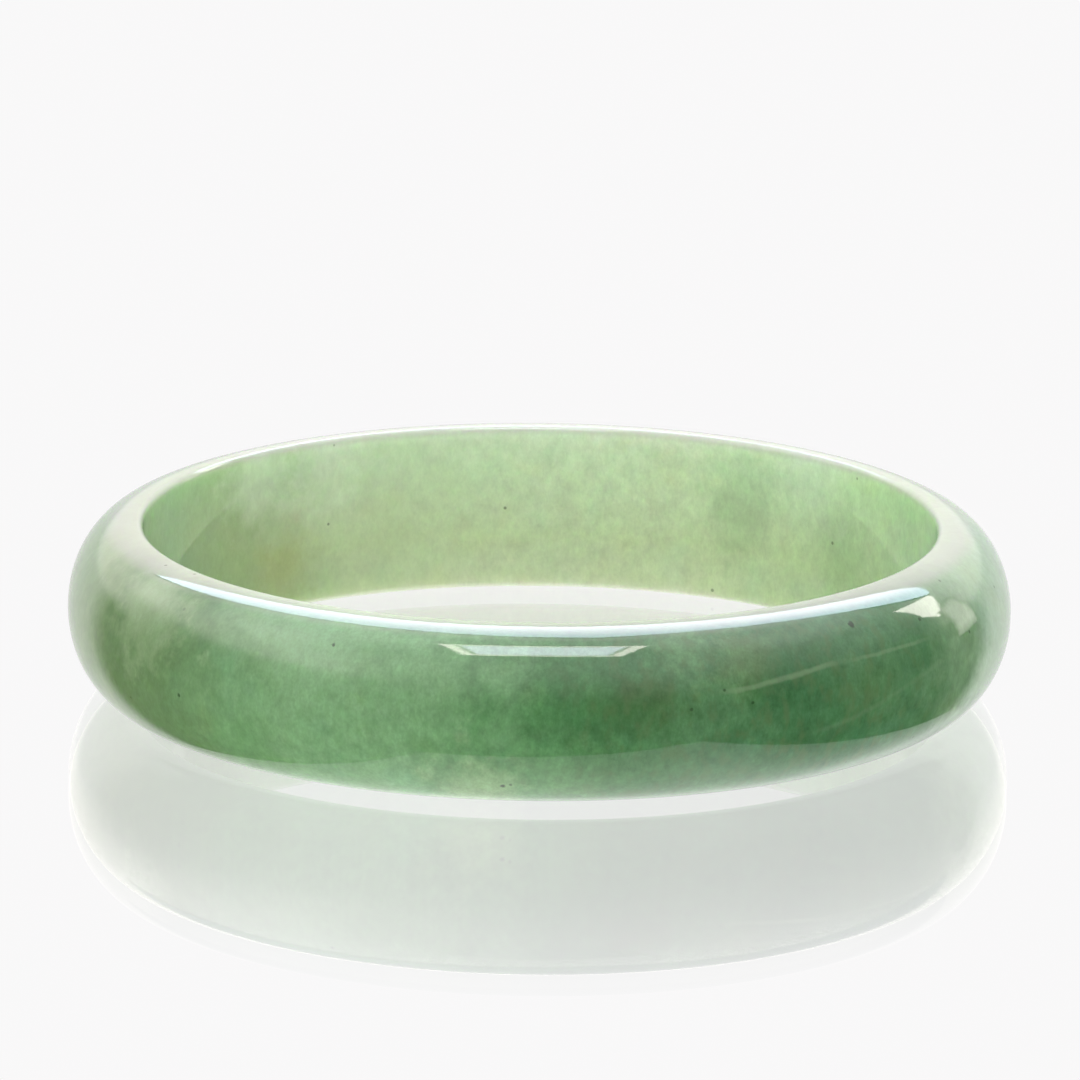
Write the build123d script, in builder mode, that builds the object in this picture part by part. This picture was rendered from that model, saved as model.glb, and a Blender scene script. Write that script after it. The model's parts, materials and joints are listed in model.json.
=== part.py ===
"""Closed jade bangle bracelet: one ring cut and polished from a single piece of stone.

The section is a D: a straight inner wall that lies against the wrist and an elliptical
dome outside, joined by small rounded inner edges and a narrow polished land on each rim.

Frame, in millimetres: the ring's axis is +Z, and the origin is on that axis in the plane
that the bangle rests on.
"""

import os

from build123d import *

# Driving dimensions
INNER_DIAMETER = 58.0  # the opening that the hand passes through, the size a bangle is sold by
WALL_THICKNESS = 5.5  # from the straight inner wall to the crown of the dome
RING_HEIGHT = 12.7  # along the ring's axis
INNER_EDGE_RADIUS = 0.5  # polished rounding at both ends of the inner wall
LAND_WIDTH = 0.3  # flat crest of each rim, which the bangle rests on

# Worked out from them
inner_radius = INNER_DIAMETER / 2
crest_radius = inner_radius + INNER_EDGE_RADIUS + LAND_WIDTH  # where the dome begins
dome_depth = inner_radius + WALL_THICKNESS - crest_radius
half_height = RING_HEIGHT / 2

with BuildPart() as jade_ring:
    with BuildSketch(Plane.XZ) as d_section:
        with BuildLine():
            EllipticalCenterArc(
                (crest_radius, half_height), dome_depth, half_height, start_angle=-90, arc_size=180
            )
            Polyline(
                (crest_radius, RING_HEIGHT),
                (inner_radius, RING_HEIGHT),
                (inner_radius, 0),
                (crest_radius, 0),
            )
        make_face()
        inner_corners = d_section.vertices().group_by(Axis.X)[0]
        fillet(inner_corners, radius=INNER_EDGE_RADIUS)
    revolve(axis=Axis.Z)

jade_ring.part.label = "jade_ring"

os.makedirs("parts", exist_ok=True)
export_step(jade_ring.part, "parts/jade_ring.step")
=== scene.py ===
"""Looks for the jade bangle: one polished, translucent stone ring on a pale glass table."""

import json
import math

import bpy
from mathutils import Matrix, Vector


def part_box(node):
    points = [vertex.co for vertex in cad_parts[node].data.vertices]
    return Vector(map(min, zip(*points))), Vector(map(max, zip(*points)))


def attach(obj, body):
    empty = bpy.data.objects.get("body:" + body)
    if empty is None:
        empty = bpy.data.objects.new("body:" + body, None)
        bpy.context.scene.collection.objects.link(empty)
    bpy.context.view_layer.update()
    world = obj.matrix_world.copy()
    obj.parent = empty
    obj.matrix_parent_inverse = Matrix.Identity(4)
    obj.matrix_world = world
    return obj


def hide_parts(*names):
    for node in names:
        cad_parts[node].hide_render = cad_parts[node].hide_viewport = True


MM = 0.001

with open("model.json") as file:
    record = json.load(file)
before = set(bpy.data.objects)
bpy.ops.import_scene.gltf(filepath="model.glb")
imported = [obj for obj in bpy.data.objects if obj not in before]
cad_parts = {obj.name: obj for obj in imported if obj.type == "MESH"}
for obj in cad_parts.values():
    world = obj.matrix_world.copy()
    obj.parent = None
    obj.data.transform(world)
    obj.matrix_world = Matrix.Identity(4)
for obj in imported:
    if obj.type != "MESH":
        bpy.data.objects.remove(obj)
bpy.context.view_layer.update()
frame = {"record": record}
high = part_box("jade_ring")[1]
bore = next(mount for mount in frame["record"]["mounts"] if mount["name"] == "wrist_bore")
OUTER_RADIUS = high.x
HEIGHT = high.z
INNER_RADIUS = bore["dims"]["r_mm"] * MM

# The section's inner edges and flat land, as the CAD part has them
INNER_EDGE = 0.5 * MM
LAND = 0.3 * MM

# Mesh density: steps round the ring, over the dome, round each inner edge and down the wall
AROUND = 512
DOME_STEPS = 64
EDGE_STEPS = 8
WALL_STEPS = 24


# ---------------------------------------------------------------- shape


def section_points():
    """(radius, height) round the closed D section: up the dome, then down the inner wall."""
    crest = INNER_RADIUS + INNER_EDGE + LAND
    dome_depth = OUTER_RADIUS - crest
    half = HEIGHT / 2
    edge_centre = INNER_RADIUS + INNER_EDGE
    points = []
    for i in range(DOME_STEPS + 1):
        a = math.pi * (i / DOME_STEPS - 0.5)
        points.append((crest + dome_depth * math.cos(a), half + half * math.sin(a)))
    for i in range(EDGE_STEPS + 1):
        a = math.pi / 2 * (1 + i / EDGE_STEPS)
        rise = HEIGHT - INNER_EDGE + INNER_EDGE * math.sin(a)
        points.append((edge_centre + INNER_EDGE * math.cos(a), rise))
    for i in range(1, WALL_STEPS):
        drop = i / WALL_STEPS * (HEIGHT - 2 * INNER_EDGE)
        points.append((INNER_RADIUS, HEIGHT - INNER_EDGE - drop))
    for i in range(EDGE_STEPS + 1):
        a = math.pi * (1 + 0.5 * i / EDGE_STEPS)
        rise = INNER_EDGE + INNER_EDGE * math.sin(a)
        points.append((edge_centre + INNER_EDGE * math.cos(a), rise))
    return points


def make_bangle():
    section = section_points()
    vertices = []
    for k in range(AROUND):
        turn = 2 * math.pi * k / AROUND
        for radius, z in section:
            vertices.append((radius * math.cos(turn), radius * math.sin(turn), z))
    count = len(section)
    faces = []
    for k in range(AROUND):
        a, b = k * count, (k + 1) % AROUND * count
        for i in range(count):
            j = (i + 1) % count
            faces.append((a + i, b + i, b + j, a + j))
    mesh = bpy.data.meshes.new("jade_bangle")
    mesh.from_pydata(vertices, [], faces)
    mesh.shade_smooth()
    bangle = bpy.data.objects.new("jade_bangle", mesh)
    bpy.context.scene.collection.objects.link(bangle)
    return bangle


# ---------------------------------------------------------------- material helpers


def paint(red, green, blue):
    """An sRGB screen colour, 0 to 255, as the linear colour that a shader takes."""
    linear = []
    for value in (red, green, blue):
        v = value / 255
        linear.append(v / 12.92 if v <= 0.04045 else ((v + 0.055) / 1.055) ** 2.4)
    return (*linear, 1.0)


class Shading:
    """Short calls for the nodes of one material or world."""

    def __init__(self, owner):
        owner.use_nodes = True
        self.nodes = owner.node_tree.nodes
        self.links = owner.node_tree.links
        self.nodes.clear()

    def put(self, value, socket):
        """Joins an output to a socket, or sets the socket to a plain value."""
        if isinstance(value, bpy.types.NodeSocket):
            self.links.new(value, socket)
        else:
            socket.default_value = value

    def add(self, kind, *inputs, **settings):
        node = self.nodes.new(kind)
        for key, value in settings.items():
            setattr(node, key, value)
        for i, value in enumerate(inputs):
            if value is not None:
                self.put(value, node.inputs[i])
        return node

    def math(self, operation, *inputs):
        return self.add("ShaderNodeMath", *inputs, operation=operation).outputs[0]

    def vector(self, operation, *inputs):
        return self.add("ShaderNodeVectorMath", *inputs, operation=operation).outputs[0]

    def step(self, value, start, end, low=0.0, high=1.0):
        """A smooth step from low at start to high at end."""
        node = self.add("ShaderNodeMapRange", interpolation_type="SMOOTHSTEP")
        names = ("Value", "From Min", "From Max", "To Min", "To Max")
        for name, v in zip(names, (value, start, end, low, high)):
            self.put(v, node.inputs[name])
        return node.outputs[0]

    def product(self, first, *others):
        for other in others:
            first = self.math("MULTIPLY", first, other)
        return first

    def distance(self, point, centre):
        node = self.add("ShaderNodeVectorMath", point, centre, operation="DISTANCE")
        return node.outputs["Value"]

    def length(self, point):
        return self.add("ShaderNodeVectorMath", point, operation="LENGTH").outputs["Value"]

    def noise(self, point, scale, detail, roughness):
        node = self.add("ShaderNodeTexNoise")
        self.put(point, node.inputs["Vector"])
        self.put(scale, node.inputs["Scale"])
        self.put(detail, node.inputs["Detail"])
        self.put(roughness, node.inputs["Roughness"])
        return node.outputs["Fac"]

    def blend(self, share, first, second, mode="MIX"):
        node = self.add("ShaderNodeMix", share, data_type="RGBA", blend_type=mode)
        colours = [socket for socket in node.inputs if socket.type == "RGBA"]
        self.put(first, colours[0])
        self.put(second, colours[1])
        return next(socket for socket in node.outputs if socket.type == "RGBA")

    def tint(self, share, colour, factor):
        return self.blend(share, colour, (*factor, 1.0), "MULTIPLY")

    def ramp(self, value, stops):
        node = self.add("ShaderNodeValToRGB", value)
        elements = node.color_ramp.elements
        while len(elements) < len(stops):
            elements.new(0.5)
        for element, (position, colour) in zip(elements, stops):
            element.position = position
            element.color = colour
        return node.outputs[0]

    def finish(self, surface, kind="ShaderNodeOutputMaterial"):
        self.links.new(surface, self.add(kind).inputs["Surface"])


# ---------------------------------------------------------------- stone


# Angles are in degrees about +Z: -180 is at the left, -90 at the front, 0 at the right, 90 at the
# back. Heights, radii and the spans below are in mm. A span runs from where a change starts to
# where it is complete.

# The stone's colour round the ring, partly its own and partly painted light: angle, colour.
# The back zones are painted paler for the light that shines through the stone from behind, and
# the front zones are painted deeper for the dimmer light in front.
ZONES_WITH_PAINTED_LIGHT = [
    (-180, paint(160, 184, 146)),
    (-163, paint(160, 181, 140)),
    (-152, paint(130, 159, 113)),
    (-142, paint(126, 159, 111)),
    (-125, paint(144, 184, 137)),
    (-104, paint(142, 184, 137)),
    (-92, paint(102, 152, 101)),
    (-78, paint(95, 141, 94)),
    (-69, paint(103, 147, 104)),
    (-61, paint(85, 132, 89)),
    (-55, paint(85, 132, 89)),
    (-48, paint(100, 143, 102)),
    (-38, paint(96, 139, 97)),
    (-28, paint(134, 167, 129)),
    (-20, paint(166, 194, 161)),
    (-10, paint(172, 198, 167)),
    (2, paint(178, 206, 174)),
    (20, paint(200, 227, 181)),
    (40, paint(210, 234, 190)),
    (68, paint(223, 238, 204)),
    (90, paint(222, 237, 205)),
    (120, paint(214, 232, 194)),
    (142, paint(182, 208, 158)),
    (160, paint(172, 201, 158)),
]

# Soft patches of another colour on the dome: angle, height, radius, colour, strength
DOME_PATCHES = [
    (-146, 10.5, 4.0, paint(180, 202, 160), 0.6),
    (-118, 10.8, 5.0, paint(170, 206, 162), 0.45),
    (-103, 9.0, 3.5, paint(156, 194, 148), 0.4),
    (-128, 3.2, 3.0, paint(122, 168, 112), 0.5),
    (-97, 1.2, 3.0, paint(170, 196, 150), 0.6),
    (-85, 7.2, 3.4, paint(86, 138, 90), 0.5),
    (-78, 8.0, 2.2, paint(88, 126, 80), 0.4),
    (-79.2, 8.8, 0.9, paint(92, 112, 72), 0.4),
    (-75.5, 8.7, 1.0, paint(88, 108, 70), 0.4),
    (-72, 11.4, 2.0, paint(136, 176, 128), 0.45),
    (-88, 2.4, 3.2, paint(140, 182, 134), 0.35),
    (-64, 10.6, 2.2, paint(128, 156, 104), 0.5),
    (-59, 8.4, 2.6, paint(74, 121, 80), 0.5),
    (-46, 6.6, 2.6, paint(98, 136, 90), 0.5),
    (-50, 3.4, 2.6, paint(76, 130, 84), 0.5),
]

# The same on the inner wall. Like the back zones, their pale colours are partly the stone's and
# partly painted light
WALL_PATCHES = [
    (38, 5.5, 3.2, paint(176, 212, 158), 0.5),
    (46, 10.8, 3.6, paint(222, 238, 210), 0.5),
    (58, 7.4, 3.4, paint(176, 212, 160), 0.45),
    (124, 10.8, 3.4, paint(226, 238, 212), 0.6),
    (137, 10.8, 3.4, paint(222, 236, 206), 0.6),
    (132, 3.4, 2.6, paint(182, 194, 126), 0.45),
]

# Dark specks on the dome: angle, height, radius, strength
SPECKS = [
    (-47.8, 11.4, 0.30, 0.9),
    (-94.2, 1.85, 0.20, 0.8),
    (-93.2, 2.0, 0.14, 0.6),
    (-115.7, 11.0, 0.15, 0.8),
    (-137.4, 5.5, 0.17, 0.7),
    (-64.3, 7.5, 0.14, 0.6),
    (-67.8, 8.55, 0.13, 0.6),
    (-36.0, 10.6, 0.16, 0.6),
]

# Healed veins on the dome: start and end angle, start and end height, half width, strength
VEINS = [
    (-70.0, -50.0, 8.4, 9.3, 0.13, 0.36),
    (-52.0, -34.0, 9.28, 9.3, 0.09, 0.24),
    (-58.0, -30.0, 4.6, 7.6, 0.14, 0.10),
]


# Noises: scale per mm, detail, roughness
BORDERS = (0.16, 4.0, 0.6)
DRIFT = (0.22, 3.0, 0.55)
RAGGED = (0.5, 4.0, 0.65)
CLOUDS = (0.75, 5.0, 0.62)
FIBRES = (2.2, 4.0, 0.65)
GRAIN = (6.0, 2.0, 0.5)
MOTTLES = (1.0, 3.0, 0.55)
SHAKE = (0.6, 3.0, 0.5)
BLUR = (3.0, 2.0, 0.5)
POLISH = (0.9, 3.0, 0.5)
UNEVEN = (2.2, 3.0, 0.55)

# Shifts in mm that keep one noise from following another, and the upright stretch of the fibres
DRIFT_SHIFT = (31.0, 7.0, 3.0)
MOTTLE_SHIFT = (5.0, 0.0, 11.0)
UPRIGHT = (1.0, 1.0, 0.6)

# How far the zones' borders wander, as a share of a turn
WANDER = 0.09

# The drifts of colour: strength, then span of the noise and tint of each
DRIFT_STRENGTH = 0.6
YELLOWISH = ((0.52, 0.75), (1.08, 1.0, 0.84))
BLUISH = ((0.48, 0.25), (0.86, 1.0, 1.07))

# A patch's edge: factor and offset that make it ragged, and its span as shares of the radius
PATCH_RAGGED = (2.4, -0.2)
PATCH_EDGE = (1.5, 0.2)

# Layers of texture: noise, stretch, tints where the noise is low and high, over NOISE_SPAN
TEXTURE = [
    (CLOUDS, None, (0.80, 0.81, 0.79), (1.18, 1.20, 1.18)),
    (FIBRES, UPRIGHT, (0.84, 0.85, 0.83), (1.14, 1.15, 1.15)),
    (GRAIN, UPRIGHT, (0.91, 0.92, 0.90), (1.08, 1.08, 1.08)),
]
NOISE_SPAN = (0.28, 0.72)

# The texture's strength: 1 at the front, BACK_TEXTURE at the back, and on the left LEFT_TEXTURE of
# either
CALM_Y = (-31.0, -8.0)
CALM_X = (-16.0, 4.0)
BACK_TEXTURE = 0.4
LEFT_TEXTURE = 0.7

# Olive mottles at the right of the front
MOTTLE_Y = (-16.0, -24.0)
MOTTLE_X = (-2.0, 6.0)
MOTTLE_SPAN = (0.46, 0.68)
MOTTLE_STRENGTH = 0.5
MOTTLE_COLOUR = paint(106, 134, 90)

# The back: its span, tints from its foot, 0, to its top, 1, and a deeper tint outside. The outside
# tint is painted shade: it takes much of the back zones' painted glow off the outer face, which the
# lamps light from behind, so the same stone is paler on its inner wall than outside.
BACK_Y = (5.0, 20.0)
BACK_TINTS = [
    (0.0, (0.93, 0.84, 0.92)),
    (0.33, (0.97, 0.93, 0.88)),
    (0.7, (1.06, 1.0, 1.06)),
    (1.0, (1.06, 1.0, 1.18)),
]
OUTSIDE_RADIUS = (31.0, 33.5)
OUTSIDE_LESS_GLOW = (0.80, 0.86, 0.78)

# Painted light on the top rim: a pale cream band for the bright light from above and the backdrop
# mirrored along the rim
RIM_LIGHT_HEIGHT = (11.9, 12.6)
RIM_LIGHT_STRENGTH = 0.58
RIM_LIGHT_COLOUR = paint(202, 194, 191)

# Veins: colour, sway in mm, soft edge as shares of the half width, and degrees to fade at an end
VEIN_COLOUR = paint(164, 190, 150)
VEIN_SWAY = 0.3
VEIN_EDGE = (2.2, 0.3)
VEIN_FADE = 5.0

# Specks: colour, factor and offset of the blur, and soft edge as shares of the radius
DARK = paint(44, 62, 40)
SPECK_BLUR = (1.6, 0.2)
SPECK_EDGE = (1.2, 0.5)

# Tiny dots: cells per mm, share of the cells that have one, soft edge in cells, strength
DOT_CELLS = 0.45
DOT_CHOSEN = (0.7, 0.72)
DOT_EDGE = (0.075, 0.04)
DOT_STRENGTH = 0.5

# The polish, and the light under the surface
STONE_IOR = 1.62
ROUGHNESS = (0.03, 0.06)
POLISH_SPAN = (0.3, 0.7)
SCATTER_COLOUR = (0.65, 1.0, 0.5)
SCATTER_DEPTH = 4.0 * MM
BUMP_HEIGHT = 0.0015 * MM


def at(angle, radius, height):
    """The point in mm at an angle about +Z in degrees, a radius and a height."""
    turn = math.radians(angle)
    return (radius * math.cos(turn), radius * math.sin(turn), height)


def on_dome(angle, height):
    """The point in mm on the outer dome at an angle about +Z in degrees and a height in mm."""
    crest = (INNER_RADIUS + INNER_EDGE + LAND) / MM
    half = HEIGHT / 2 / MM
    bulge = math.sqrt(1 - ((height - half) / half) ** 2)
    return at(angle, crest + (OUTER_RADIUS / MM - crest) * bulge, height)


def zones_of_colour(s, mm, calm, degrees):
    """Zones round the ring with wandering borders, and drifts to yellow-green and blue-green; the
    zones' colours are partly painted light.
    """
    wander = s.math("SUBTRACT", s.noise(mm, *BORDERS), 0.5)
    turn = s.math("ADD", s.math("DIVIDE", degrees, 360.0), 0.5)
    turn = s.math("ADD", turn, s.math("MULTIPLY", wander, WANDER))
    stops = [((angle + 180) / 360, colour) for angle, colour in ZONES_WITH_PAINTED_LIGHT]
    stops.append((1.0, ZONES_WITH_PAINTED_LIGHT[0][1]))
    colour = s.ramp(turn, stops)
    drift = s.noise(s.vector("ADD", mm, DRIFT_SHIFT), *DRIFT)
    strength = s.math("MULTIPLY", calm, DRIFT_STRENGTH)
    for span, factor in (YELLOWISH, BLUISH):
        colour = s.tint(s.step(drift, *span, 0.0, strength), colour, factor)
    return colour


def with_patches(s, mm, colour):
    """Soft patches with ragged borders."""
    wall = INNER_RADIUS / MM
    places = [(on_dome(angle, height), *rest) for angle, height, *rest in DOME_PATCHES]
    places += [(at(angle, wall, height), *rest) for angle, height, *rest in WALL_PATCHES]
    stretch = s.math("MULTIPLY_ADD", s.noise(mm, *RAGGED), *PATCH_RAGGED)
    outer, inner = PATCH_EDGE
    for centre, radius, patch, strength in places:
        reach = s.math("MULTIPLY", s.distance(mm, centre), stretch)
        share = s.step(reach, radius * outer, radius * inner, 0.0, strength)
        colour = s.blend(share, colour, patch)
    return colour


def with_texture(s, mm, calm, axes, colour):
    """Clouds, short upright fibres and fine grain, calmer in the pale back, and olive mottles."""
    start, end = NOISE_SPAN
    for noise, stretch, dark, light in TEXTURE:
        point = s.vector("MULTIPLY", mm, stretch) if stretch else mm
        tints = s.ramp(s.noise(point, *noise), [(start, (*dark, 1.0)), (end, (*light, 1.0))])
        colour = s.blend(calm, colour, tints, "MULTIPLY")
    point = s.vector("ADD", s.vector("MULTIPLY", mm, UPRIGHT), MOTTLE_SHIFT)
    mottle = s.step(s.noise(point, *MOTTLES), *MOTTLE_SPAN, 0.0, MOTTLE_STRENGTH)
    share = s.product(s.step(axes[1], *MOTTLE_Y), s.step(axes[0], *MOTTLE_X), mottle)
    return s.blend(share, colour, MOTTLE_COLOUR)


def with_height(s, mm, axes, colour):
    """A pale band of painted light along the top rim, and a back that is milky at its top, warm at
    its foot and painted deeper outside than on its inner wall.
    """
    share = s.math("DIVIDE", axes[2], HEIGHT / MM)
    stops = [(place, (*factor, 1.0)) for place, factor in BACK_TINTS]
    back = s.step(axes[1], *BACK_Y)
    colour = s.blend(back, colour, s.ramp(share, stops), "MULTIPLY")
    # Painted shade: the back's outer face is tinted deeper than its inner wall
    radius = s.length(s.vector("MULTIPLY", mm, (1.0, 1.0, 0.0)))
    outside = s.product(back, s.step(radius, *OUTSIDE_RADIUS))
    colour = s.tint(outside, colour, OUTSIDE_LESS_GLOW)
    # Painted light: the pale cream band along the top rim
    return s.blend(s.step(axes[2], *RIM_LIGHT_HEIGHT, 0.0, RIM_LIGHT_STRENGTH), colour, RIM_LIGHT_COLOUR)


def with_veins(s, mm, height, degrees, colour):
    """Pale healed veins, which sway a little."""
    sway = s.math("MULTIPLY", s.math("SUBTRACT", s.noise(mm, *SHAKE), 0.5), VEIN_SWAY)
    outer, inner = VEIN_EDGE
    for first, last, first_height, last_height, half_width, strength in VEINS:
        line = s.math("ADD", s.step(degrees, first, last, first_height, last_height), sway)
        away = s.math("ABSOLUTE", s.math("SUBTRACT", height, line))
        share = s.product(
            s.step(away, half_width * outer, half_width * inner, 0.0, strength),
            s.step(degrees, first, first + VEIN_FADE),
            s.step(degrees, last, last - VEIN_FADE),
        )
        colour = s.blend(share, colour, VEIN_COLOUR)
    return colour


def with_specks(s, mm, colour):
    """The listed dark specks, and a few tiny dark dots anywhere."""
    blur = s.math("MULTIPLY_ADD", s.noise(mm, *BLUR), *SPECK_BLUR)
    outer, inner = SPECK_EDGE
    for angle, height, radius, strength in SPECKS:
        reach = s.math("MULTIPLY", s.distance(mm, on_dome(angle, height)), blur)
        share = s.step(reach, radius * outer, radius * inner, 0.0, strength)
        colour = s.blend(share, colour, DARK)
    dots = s.add("ShaderNodeTexVoronoi", mm, None, DOT_CELLS).outputs
    cell = s.add("ShaderNodeSeparateColor", dots["Color"]).outputs[0]
    dot = s.step(dots["Distance"], *DOT_EDGE, 0.0, DOT_STRENGTH)
    return s.blend(s.product(s.step(cell, *DOT_CHOSEN), dot), colour, DARK)


def jade():
    """Polished translucent stone: milky light under the surface and a clear gloss over it."""
    material = bpy.data.materials.new("jade")
    s = Shading(material)
    place = s.add("ShaderNodeTexCoord").outputs["Object"]
    scaled = s.add("ShaderNodeVectorMath", place, operation="SCALE")
    scaled.inputs["Scale"].default_value = 1 / MM
    mm = scaled.outputs[0]
    axes = s.add("ShaderNodeSeparateXYZ", mm).outputs
    degrees = s.math("DEGREES", s.math("ARCTAN2", axes[1], axes[0]))

    calm = s.product(
        s.step(axes[1], *CALM_Y, 1.0, BACK_TEXTURE),
        s.step(axes[0], *CALM_X, LEFT_TEXTURE, 1.0),
    )
    colour = zones_of_colour(s, mm, calm, degrees)
    colour = with_patches(s, mm, colour)
    colour = with_texture(s, mm, calm, axes, colour)
    colour = with_height(s, mm, axes, colour)
    colour = with_veins(s, mm, axes[2], degrees, colour)
    colour = with_specks(s, mm, colour)

    shader = s.add("ShaderNodeBsdfPrincipled")
    s.put(colour, shader.inputs["Base Color"])
    roughness = s.step(s.noise(mm, *POLISH), *POLISH_SPAN, *ROUGHNESS)
    s.put(roughness, shader.inputs["Roughness"])
    shader.inputs["IOR"].default_value = STONE_IOR
    shader.inputs["Subsurface Weight"].default_value = 1.0
    shader.inputs["Subsurface Radius"].default_value = SCATTER_COLOUR
    shader.inputs["Subsurface Scale"].default_value = SCATTER_DEPTH
    bump = s.add("ShaderNodeBump")
    s.put(s.noise(mm, *UNEVEN), bump.inputs["Height"])
    bump.inputs["Distance"].default_value = BUMP_HEIGHT
    s.put(bump.outputs[0], shader.inputs["Normal"])
    s.finish(shader.outputs[0])
    return material


# ---------------------------------------------------------------- stage

WHITE = (0.945, 0.94, 0.943, 1.0)
PLAIN = (1.0, 1.0, 1.0, 1.0)
COOL = (0.86, 0.89, 1.0, 1.0)
DEEP_COOL = (0.66, 0.78, 0.92, 1.0)
CREAM = (1.0, 0.94, 0.88, 1.0)
DIM_CREAM = (0.4, 0.38, 0.35, 1.0)
OFF_WHITE = (0.95, 0.95, 0.95, 1.0)
GREY = (0.4, 0.4, 0.4, 1.0)
SHADE = (0.35, 0.33, 0.32, 1.0)
BLACK = (0.0, 0.0, 0.0, 1.0)

# The glass table: half its side, the depths of its two faces, the fade of its mirror away from
# the ring as shares of the ring's radius, and each face's mirror strength near and far
GLASS_SIDE = 6.0
GLASS_IOR = 1.5
TOP_DEPTH = 0.01 * MM
UNDERSIDE_DEPTH = 0.80 * MM
MIRROR_FADE = (1.1, 2.15)
TOP_MIRROR = (0.72, 1.25)
UNDERSIDE_MIRROR = (1.2, 0.2)

# The share of a lamp's radiance that is left after a second reflection
SECOND_REFLECTION = 0.12

# What the stone sees of the room: colour, strength, and edges as axis, outside, inside. In order:
# the ceiling, the ceiling behind, the low backdrop, the back wall over it, and the left wall
X, Y, Z = range(3)
ROOM = [
    (PLAIN, 1.3, [(Z, 0.0, 0.9)]),
    (PLAIN, 0.9, [(Z, 0.6, 0.8), (Y, -0.35, 0.0)]),
    (PLAIN, 0.85, [(Y, 0.62, 0.78), (Z, -0.75, -0.5), (Z, 0.24, 0.14)]),
    (CREAM, 1.35, [(Y, 0.3, 0.7), (Z, 0.10, 0.24), (Z, 0.66, 0.55)]),
    (CREAM, 1.4, [(X, -0.45, -0.8), (Z, 0.3, 0.5), (Z, 0.9, 0.75)]),
]

# The soft light on the stone, from the front to the back
FILL_Y = (0.3, 0.9)
FILL = (0.6, 1.1)


def make_quad(name, corners):
    mesh = bpy.data.meshes.new(name)
    mesh.from_pydata(corners, [], [(0, 1, 2, 3)])
    layer = mesh.uv_layers.new(name="UVMap")
    for loop, uv in zip(layer.data, ((0, 0), (1, 0), (1, 1), (0, 1))):
        loop.uv = uv
    quad = bpy.data.objects.new(name, mesh)
    bpy.context.scene.collection.objects.link(quad)
    return quad


def glass_face(name, depth, body_kind, colour, mirror_range):
    """One face of the table's glass: a Fresnel mirror over what lies under it.

    mirror_range is the mirror's strength close to the ring and far out.
    """
    side, z = GLASS_SIDE, -depth
    quad = make_quad(name, [(-side, -side, z), (side, -side, z), (side, side, z), (-side, side, z)])
    material = bpy.data.materials.new(name)
    s = Shading(material)
    body = s.add(body_kind)
    body.inputs["Color"].default_value = colour
    mirror = s.add("ShaderNodeBsdfGlossy")
    mirror.inputs["Color"].default_value = PLAIN
    mirror.inputs["Roughness"].default_value = 0.0
    start, end = (OUTER_RADIUS * share for share in MIRROR_FADE)
    out = s.length(s.add("ShaderNodeTexCoord").outputs["Object"])
    fresnel = s.add("ShaderNodeFresnel", GLASS_IOR).outputs[0]
    above = s.math("SUBTRACT", 1.0, s.add("ShaderNodeNewGeometry").outputs["Backfacing"])
    share = s.product(fresnel, s.step(out, start, end, *mirror_range), above)
    mix = s.add("ShaderNodeMixShader", share, body.outputs[0], mirror.outputs[0])
    s.finish(mix.outputs[0])
    quad.data.materials.append(material)
    quad.visible_glossy = False


def lamp(name, corners, seen, bands, light, taper=None):
    """A flat lamp that the stone sees, and that the camera and the table's mirror don't.

    seen is its radiance in reflections, and light its radiance as it lights the stone.
    bands are colours from the lamp's middle, 0, to its edge, 1. With a taper the lamp is
    an arch, and the taper draws in its right side.
    """
    quad = make_quad(name, corners)
    material = bpy.data.materials.new(name)
    s = Shading(material)
    uv = s.add("ShaderNodeTexCoord").outputs["UV"]
    axes = s.add("ShaderNodeSeparateXYZ", uv).outputs
    across = s.math("MULTIPLY_ADD", axes[0], 2.0, -1.0)
    if taper is None:
        along = s.math("ABSOLUTE", s.math("MULTIPLY_ADD", axes[1], 2.0, -1.0))
        reach = s.math("MAXIMUM", s.math("ABSOLUTE", across), along)
    else:
        drawn_in = s.math("MULTIPLY_ADD", s.math("MAXIMUM", across, 0.0), taper, 1.0)
        along = s.math("MULTIPLY", axes[1], drawn_in)
        squares = [s.math("POWER", value, 2.0) for value in (across, along)]
        reach = s.math("SQRT", s.math("ADD", *squares))
    glow = s.add("ShaderNodeEmission")
    s.put(s.ramp(reach, bands), glow.inputs["Color"])
    path = s.add("ShaderNodeLightPath").outputs
    first = s.math("LESS_THAN", path["Glossy Depth"], 1.5)
    reflected = s.add("ShaderNodeMix", first, None, seen * SECOND_REFLECTION, seen).outputs[0]
    strength = s.add("ShaderNodeMix", path["Is Glossy Ray"], None, light, reflected)
    s.put(strength.outputs[0], glow.inputs["Strength"])
    clear = s.add("ShaderNodeBsdfTransparent")
    hidden = path["Is Singular Ray"]
    if taper is not None:
        hidden = s.math("MAXIMUM", hidden, s.math("GREATER_THAN", reach, 1.0))
    mix = s.add("ShaderNodeMixShader", hidden, glow.outputs[0], clear.outputs[0])
    s.finish(mix.outputs[0])
    quad.data.materials.append(material)
    quad.visible_camera = False
    quad.visible_shadow = False
    quad.visible_diffuse = light != 0


def level_corners(height, x_range, y_range):
    """The corners of a level rectangle."""
    (x0, x1), (y0, y1) = x_range, y_range
    return [(x0, y0, height), (x1, y0, height), (x1, y1, height), (x0, y1, height)]


def towards(azimuth, elevation, distance=1.0):
    """A point seen from the ring: azimuth from the back (+Y) towards the right (+X), in degrees."""
    a, e = math.radians(azimuth), math.radians(elevation)
    flat = math.cos(e)
    return distance * Vector((math.sin(a) * flat, math.cos(a) * flat, math.sin(e)))


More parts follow.
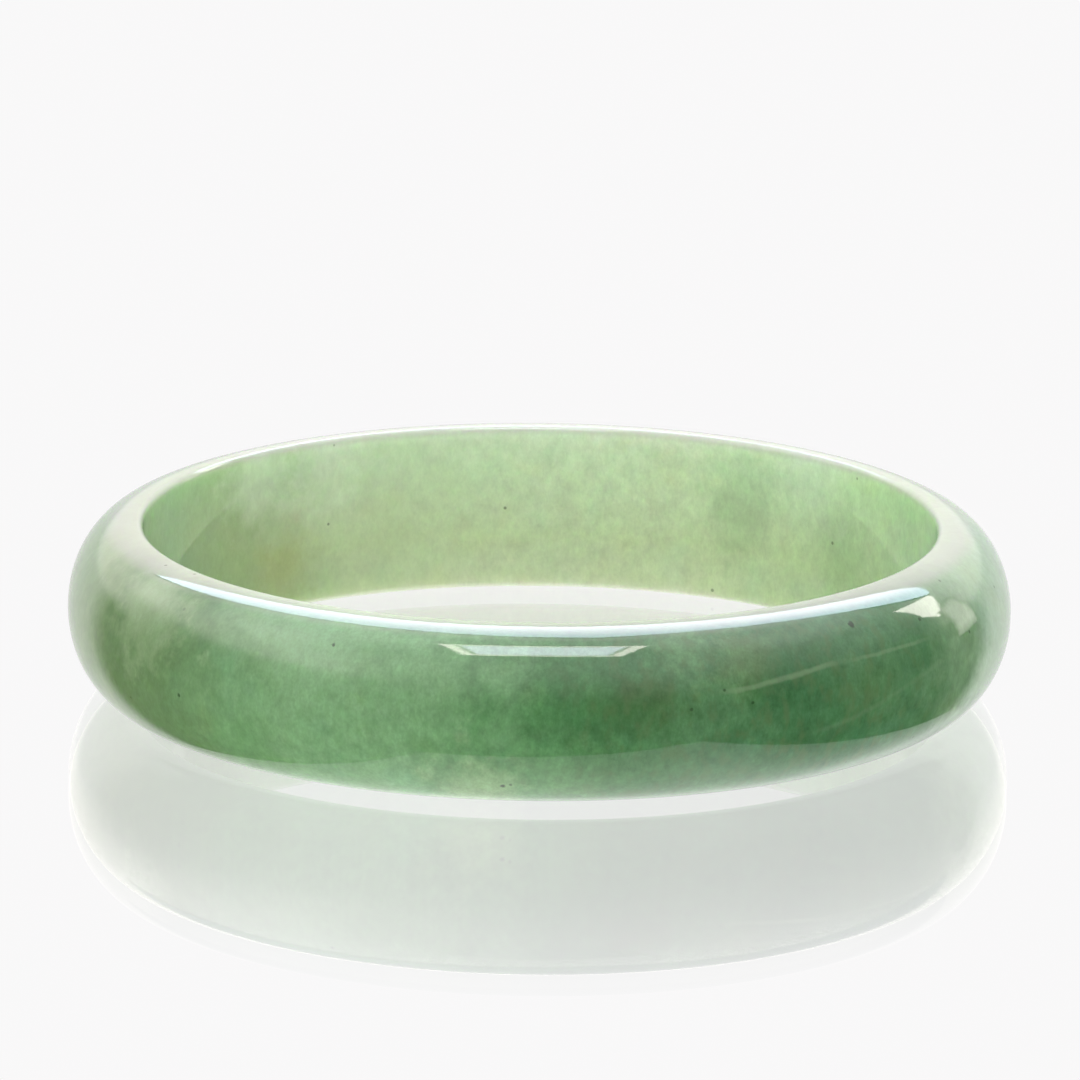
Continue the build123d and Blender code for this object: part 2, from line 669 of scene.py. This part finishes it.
def make_world():
    """Plain white to the camera and in the table's mirror, and a room to the stone."""
    world = bpy.data.worlds.new("studio")
    bpy.context.scene.world = world
    s = Shading(world)
    path = s.add("ShaderNodeLightPath").outputs
    direction = s.add("ShaderNodeTexCoord").outputs["Generated"]
    axes = s.add("ShaderNodeSeparateXYZ", direction).outputs
    parts = []
    for colour, strength, edges in ROOM:
        shares = [s.step(axes[axis], outside, inside) for axis, outside, inside in edges]
        part = s.add("ShaderNodeBackground", colour, s.product(strength, *shares))
        parts.append(part.outputs[0])
    room = parts[0]
    for part in parts[1:]:
        room = s.add("ShaderNodeAddShader", room, part).outputs[0]
    fill = s.add("ShaderNodeBackground", PLAIN, s.step(axes[Y], *FILL_Y, *FILL)).outputs[0]
    stone_sees = s.add("ShaderNodeMixShader", path["Is Glossy Ray"], fill, room).outputs[0]
    white = s.add("ShaderNodeBackground", WHITE, 1.0).outputs[0]
    plain = s.math("MAXIMUM", path["Is Camera Ray"], path["Is Singular Ray"])
    mix = s.add("ShaderNodeMixShader", plain, stone_sees, white)
    s.finish(mix.outputs[0], "ShaderNodeOutputWorld")


def make_lamps():
    # the main softbox, above and behind: an arch of cool light in a black frame
    centre = towards(8, 36)
    across = Vector((0.62, -0.09, -0.02))
    rise = Vector((0.0, -0.60, 0.41))
    corners = [centre - across, centre + across, centre + across + rise, centre - across + rise]
    bands = [(0.0, COOL), (0.4, COOL), (0.8, DEEP_COOL), (0.955, DEEP_COOL), (0.96, BLACK)]
    lamp("softbox", corners, 6.9, bands, 3.0, taper=1.2)

    # a small lamp overhead: cool in the middle, with a grey line and a cream border
    corners = level_corners(0.7, (-0.182, 0.1995), (-0.329, -0.091))
    bands = [(0.0, COOL), (0.78, COOL), (0.80, SHADE), (0.84, SHADE), (0.86, CREAM), (1.0, CREAM)]
    lamp("ceiling_lamp", corners, 9.5, bands, 3.0)

    # a window at the back right
    places = [(61.2, 16.7), (64.5, 23.1), (59.7, 36.2), (45.8, 29.6)]
    corners = [towards(*place, distance=1.2) for place in places]
    lamp("window", corners, 7.5, [(0.0, CREAM), (1.0, CREAM)], 3.0)

    # a tall dim panel below it
    corners = [towards(*place, distance=1.2) for place in ((49, 0), (60, 0), (60, 22), (49, 22))]
    lamp("side_panel", corners, 2.4, [(0.0, CREAM), (0.6, CREAM), (1.0, DIM_CREAM)], 1.0)

    # the lit table as the front of the stone mirrors it, which only reflections see
    corners = [(-0.13, -0.23, -0.2), (0.24, -0.28, -0.2), (0.24, 0.4, -0.2), (-0.13, 0.4, -0.2)]
    lamp("table_glow", corners, 1.75, [(0.0, PLAIN), (0.3, OFF_WHITE), (1.0, GREY)], 0)


# ---------------------------------------------------------------- camera


# The camera's lens in mm, its place, and its pitch and roll in radians
LENS = 277.3
CAMERA_PLACE = (0, -0.5895, 0.1611)
PITCH = -0.2491
ROLL = -0.010


def make_camera():
    """A long lens about 15 degrees above the table, aimed at the ring's upper rim."""
    camera = bpy.data.objects.new("camera", bpy.data.cameras.new("camera"))
    camera.data.sensor_width = 36.0
    camera.data.lens = LENS
    camera.data.clip_end = 50.0
    pitch = Matrix.Rotation(math.pi / 2 + PITCH, 4, "X")
    roll = Matrix.Rotation(-ROLL, 4, "Z")
    camera.matrix_world = Matrix.Translation(CAMERA_PLACE) @ pitch @ roll
    bpy.context.scene.collection.objects.link(camera)
    bpy.context.scene.camera = camera


bangle = make_bangle()
bangle.data.materials.append(jade())
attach(bangle, "root")
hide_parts("jade_ring")

make_world()
glass_face("glass_top", TOP_DEPTH, "ShaderNodeBsdfTransparent", PLAIN, TOP_MIRROR)
glass_face("glass_underside", UNDERSIDE_DEPTH, "ShaderNodeEmission", WHITE, UNDERSIDE_MIRROR)
make_lamps()
make_camera()
bpy.context.scene.view_settings.view_transform = "Standard"
